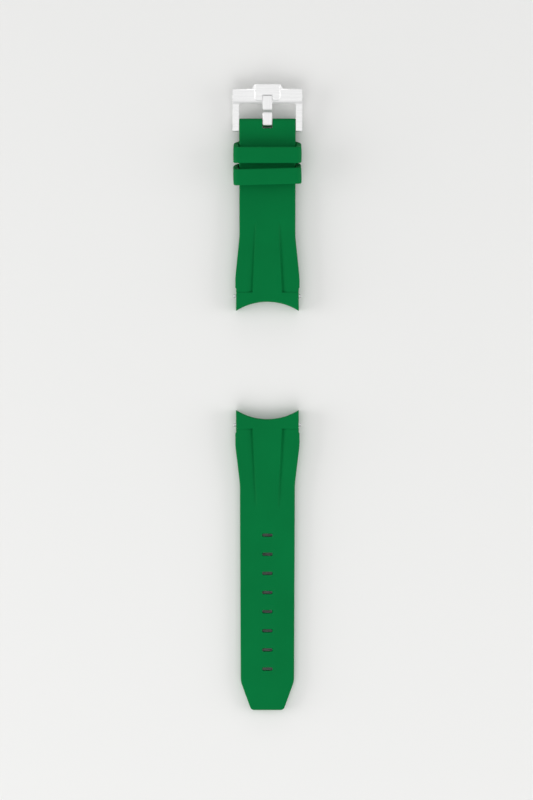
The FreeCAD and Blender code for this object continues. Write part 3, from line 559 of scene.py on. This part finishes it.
def keeper(name, place, turn, rib):
    straight = (10, 40)
    low, high = KEEPER_FLOOR - KEEPER_WALL, KEEPER_CEILING + KEEPER_WALL
    inner = loop_outline(
        KEEPER_INNER_HALF, KEEPER_FLOOR, KEEPER_CEILING,
        KEEPER_INNER_ROUND, KEEPER_INNER_ROUND, straight,
    )
    outer = loop_outline(
        KEEPER_INNER_HALF + KEEPER_SIDE, low, high, KEEPER_BASE_ROUND, KEEPER_TOP_ROUND, straight
    )
    spin = Matrix.Rotation(math.radians(turn), 3, "Z")
    points, faces = [], []
    for start, end in zip(inner, outer):
        depth = float(np.linalg.norm(end - start))
        way = (end - start) / depth
        on_rib = rib and start[1] <= KEEPER_FLOOR + 0.001 and abs(start[0]) <= RIB_REACH
        for a, b in keeper_section(depth):
            if a == "rib":
                a = -RIB_HEIGHT if on_rib else 0
            x, z = start + way * a
            lean = KEEPER_LEAN * max((high - z) / (high - low), 0) ** KEEPER_SWEEP
            turned = spin @ Vector((x, b + lean, 0))
            points.append((turned.x, BAR + place + turned.y, UNDERSIDE + z))
    size = len(points) // len(inner)
    for k in range(len(inner)):
        after = (k + 1) % len(inner)
        for i in range(size):
            j = (i + 1) % size
            faces.append((k * size + i, k * size + j, after * size + j, after * size + i))
    return make_object(name, points, faces, smooth_angle=KEEPER_SMOOTH_ANGLE)


fixed_keeper = keeper("fixed_keeper_rubber", FIXED_KEEPER_S, 0, True)
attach(fixed_keeper, "short_strap")
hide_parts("fixed_keeper")
free_keeper = keeper("free_keeper_rubber", FREE_KEEPER_S, FREE_KEEPER_TURN, False)
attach(free_keeper, "free_keeper")
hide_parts("free_keeper")


# Materials

NOISE_LOW, NOISE_HIGH = 0.3, 0.7     # part of the noise that is used
CLOUD_SCALE = 60                     # slow change of the rubber's shade
SHEEN_SCALE = 400                    # and of its roughness
GRAIN_SCALE = 5200                   # fine grain of the rubber
LINE_SCALE = 9000                    # brushed lines of the steel
STREAK_SCALE = 5000                  # change of its shade


def shader(name, colour, metallic, roughness):
    """A material, its nodes and its shader."""
    material = bpy.data.materials.new(name)
    material.use_nodes = True
    tree = material.node_tree
    principled = tree.nodes["Principled BSDF"]
    principled.inputs["Base Color"].default_value = (*colour, 1)
    principled.inputs["Metallic"].default_value = metallic
    principled.inputs["Roughness"].default_value = roughness
    return material, tree, principled


def noise(tree, stretch, scale, detail=3.0):
    """Noise in the object's own coordinates, stretched along each axis."""
    place = tree.nodes.new("ShaderNodeTexCoord")
    sized = tree.nodes.new("ShaderNodeMapping")
    sized.inputs["Scale"].default_value = stretch
    tree.links.new(place.outputs["Object"], sized.inputs["Vector"])
    made = tree.nodes.new("ShaderNodeTexNoise")
    made.inputs["Scale"].default_value = scale
    made.inputs["Detail"].default_value = detail
    tree.links.new(sized.outputs["Vector"], made.inputs["Vector"])
    return made.outputs["Fac"]


def between(tree, factor, low, high, socket):
    """Takes a socket from low to high as the noise rises."""
    ramp = tree.nodes.new("ShaderNodeMapRange")
    ramp.inputs["From Min"].default_value = NOISE_LOW
    ramp.inputs["From Max"].default_value = NOISE_HIGH
    ramp.inputs["To Min"].default_value = low
    ramp.inputs["To Max"].default_value = high
    tree.links.new(factor, ramp.inputs["Value"])
    tree.links.new(ramp.outputs["Result"], socket)


def tint(tree, factor, one, two, socket):
    """Takes a colour socket from one colour to another as the noise rises."""
    ramp = tree.nodes.new("ShaderNodeValToRGB")
    ramp.color_ramp.elements[0].position = NOISE_LOW
    ramp.color_ramp.elements[0].color = (*one, 1)
    ramp.color_ramp.elements[1].position = NOISE_HIGH
    ramp.color_ramp.elements[1].color = (*two, 1)
    tree.links.new(factor, ramp.inputs["Fac"])
    tree.links.new(ramp.outputs["Color"], socket)


def relief(tree, height, strength, distance, principled):
    """Fine bumps on a shader."""
    bump = tree.nodes.new("ShaderNodeBump")
    bump.inputs["Strength"].default_value = strength
    bump.inputs["Distance"].default_value = distance
    tree.links.new(height, bump.inputs["Height"])
    tree.links.new(bump.outputs["Normal"], principled.inputs["Normal"])


def scaled(colour, factor):
    return tuple(c * factor for c in colour)


def rubber():
    """Matte moulded rubber: a fine even grain, and a slow change of shade."""
    material, tree, principled = shader("matte_green_rubber", GREEN, 0.0, 0.62)
    principled.inputs["Specular IOR Level"].default_value = 0.05
    clouds = noise(tree, (1, 1, 1), CLOUD_SCALE)
    tint(tree, clouds, scaled(GREEN, 0.96), scaled(GREEN, 1.05), principled.inputs["Base Color"])
    sheen = noise(tree, (1, 1, 1), SHEEN_SCALE)
    between(tree, sheen, 0.56, 0.68, principled.inputs["Roughness"])
    grain = noise(tree, (1, 1, 1), GRAIN_SCALE, 2.0)
    relief(tree, grain, 0.22, 0.00004, principled)
    return material


def brushed(name, colour, roughness, stretch, strength):
    """Steel with fine lines; the lines run along the axis with the smallest stretch."""
    material, tree, principled = shader(name, colour, 1.0, roughness)
    lines = noise(tree, stretch, LINE_SCALE, 2.0)
    between(tree, lines, roughness * 0.8, roughness * 1.25, principled.inputs["Roughness"])
    tint(
        tree, noise(tree, stretch, STREAK_SCALE), scaled(colour, 0.93), scaled(colour, 1.03),
        principled.inputs["Base Color"],
    )
    relief(tree, lines, strength, 0.00002, principled)
    return material


def dress(node, material):
    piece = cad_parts[node]
    piece.data.materials.clear()
    piece.data.materials.append(material)


green = rubber()
for piece in (long_strap, short_strap, fixed_keeper, free_keeper):
    piece.data.materials.clear()
    piece.data.materials.append(green)

frame_steel = brushed("buckle_steel", STEEL, 0.30, (0.02, 1, 1), 0.25)
tang_steel = brushed("tang_steel", STEEL, 0.34, (1, 0.02, 0.02), 0.2)
bar_steel = brushed("turned_steel", BAR_STEEL, 0.26, (1, 0.05, 0.05), 0.25)
wire_steel = brushed("wire_steel", WIRE_STEEL, 0.33, (1, 1, 1), 0.15)

dress("buckle_frame", frame_steel)
dress("buckle_tang", tang_steel)
for bar in ("long_lug_bar", "short_lug_bar", "buckle_bar"):
    for end in ("tube", "left_pin", "right_pin"):
        dress(bar + "_" + end, bar_steel)
    dress(bar + "_spring", wire_steel)
for sleeve in ("long_strap_sleeve", "short_strap_sleeve"):
    dress(sleeve, bar_steel)

# Edges of the buckle, rounded as a polisher leaves them
for node, width in (("buckle_frame", 0.22), ("buckle_tang", 0.15)):
    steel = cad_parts[node]
    steel.data.shade_smooth()
    weld = steel.modifiers.new("weld", "WELD")
    weld.merge_threshold = 0.000002
    flat = steel.modifiers.new("flat", "DECIMATE")
    flat.decimate_type = "DISSOLVE"
    flat.angle_limit = math.radians(1)
    bevel = steel.modifiers.new("edges", "BEVEL")
    bevel.width = width * MM
    bevel.segments = 3
    bevel.limit_method = "ANGLE"
    bevel.angle_limit = math.radians(35)
    bevel.use_clamp_overlap = True
    normals = steel.modifiers.new("normals", "WEIGHTED_NORMAL")
    normals.keep_sharp = False


# Floor, light and camera

FLOOR_LEVEL = BASE - KEEPER_CROWN - 0.01
PICTURE = (533, 800)
PIXELS_PER_MM = 3.0
VIEW_CENTRE = (-0.3, -13.2)      # what the middle of the picture shows
DISTANCE = 1500.0
SENSOR = 36.0
AMBIENT = 0.6                    # strength of the light from all round
MIRROR_HORIZON = 0.4             # strength that steel mirrors at the horizon
MIRROR_WHITE_FROM = 0.75         # height, as a sine, from which it mirrors plain white


def stage_plane(name, size, level):
    """A square plane about the origin."""
    half = size / 2
    points = [(-half, -half, level), (half, -half, level), (half, half, level), (-half, half, level)]
    mesh = bpy.data.meshes.new(name)
    mesh.from_pydata([tuple(c * MM for c in p) for p in points], [], [(0, 1, 2, 3)])
    plane = bpy.data.objects.new(name, mesh)
    bpy.context.scene.collection.objects.link(plane)
    return plane


floor = stage_plane("floor", 6000, FLOOR_LEVEL)
floor_material, _, _ = shader("pale_floor", (0.80, 0.80, 0.79), 0.0, 0.8)
floor.data.materials.append(floor_material)

world = bpy.data.worlds.new("studio")
bpy.context.scene.world = world
world.use_nodes = True
sky = world.node_tree
background = sky.nodes["Background"]
background.inputs["Color"].default_value = (1.0, 1.0, 1.0, 1)
paths = sky.nodes.new("ShaderNodeLightPath")


def strength_where(ray, otherwise, value):
    """Strength of the background: one value or socket for a kind of ray, another for the rest."""
    choice = sky.nodes.new("ShaderNodeMix")
    sky.links.new(paths.outputs[ray], choice.inputs["Factor"])
    without, within = choice.inputs[2:4]
    for socket, wanted in ((without, otherwise), (within, value)):
        if isinstance(wanted, float):
            socket.default_value = wanted
        else:
            sky.links.new(wanted, socket)
    return choice.outputs[0]


# Steel mirrors the white overhead, and less of it towards the horizon
direction = sky.nodes.new("ShaderNodeTexCoord")
height = sky.nodes.new("ShaderNodeSeparateXYZ")
sky.links.new(direction.outputs["Generated"], height.inputs["Vector"])
mirror = sky.nodes.new("ShaderNodeMapRange")
mirror.inputs["From Max"].default_value = MIRROR_WHITE_FROM
mirror.inputs["To Min"].default_value = MIRROR_HORIZON
mirror.inputs["To Max"].default_value = 1.0
sky.links.new(height.outputs["Z"], mirror.inputs["Value"])
glossy = strength_where("Is Glossy Ray", AMBIENT, mirror.outputs["Result"])
clear = strength_where("Is Transmission Ray", glossy, 1.0)
sky.links.new(strength_where("Is Camera Ray", clear, 1.0), background.inputs["Strength"])


def softbox(name, place, aim, size, power, mirrored=True):
    """A lamp that the camera doesn't see, and that steel mirrors unless it is told not to."""
    lamp = bpy.data.lights.new(name, "AREA")
    lamp.shape = "RECTANGLE"
    lamp.size, lamp.size_y = size
    lamp.energy = power
    light = bpy.data.objects.new(name, lamp)
    light.location = Vector(place)
    light.rotation_mode = "QUATERNION"
    light.rotation_quaternion = (Vector(aim) - Vector(place)).to_track_quat("-Z", "Y")
    light.visible_camera = False
    light.visible_glossy = mirrored
    bpy.context.scene.collection.objects.link(light)


softbox("key", (-0.1, -0.95, 0.85), (0, 0, 0), (1.3, 0.9), 6.2, mirrored=False)
softbox("left", (-0.95, -0.05, 0.3), (0, 0, 0), (0.7, 0.5), 4.6)
softbox("right", (0.95, -0.05, 0.35), (0, 0, 0), (0.7, 0.5), 3.2)
softbox("back", (0.0, 1.1, 0.35), (0, 0.05, 0), (0.9, 0.3), 1.2)

lens = bpy.data.cameras.new("camera")
lens.sensor_width = SENSOR
lens.lens = SENSOR * DISTANCE / (PICTURE[1] / PIXELS_PER_MM)
lens.clip_start, lens.clip_end = 0.1, 20
camera = bpy.data.objects.new("camera", lens)
camera.location = (VIEW_CENTRE[0] * MM, VIEW_CENTRE[1] * MM, (DISTANCE + TOP) * MM)
bpy.context.scene.collection.objects.link(camera)
bpy.context.scene.camera = camera
bpy.context.scene.view_settings.view_transform = "Standard"
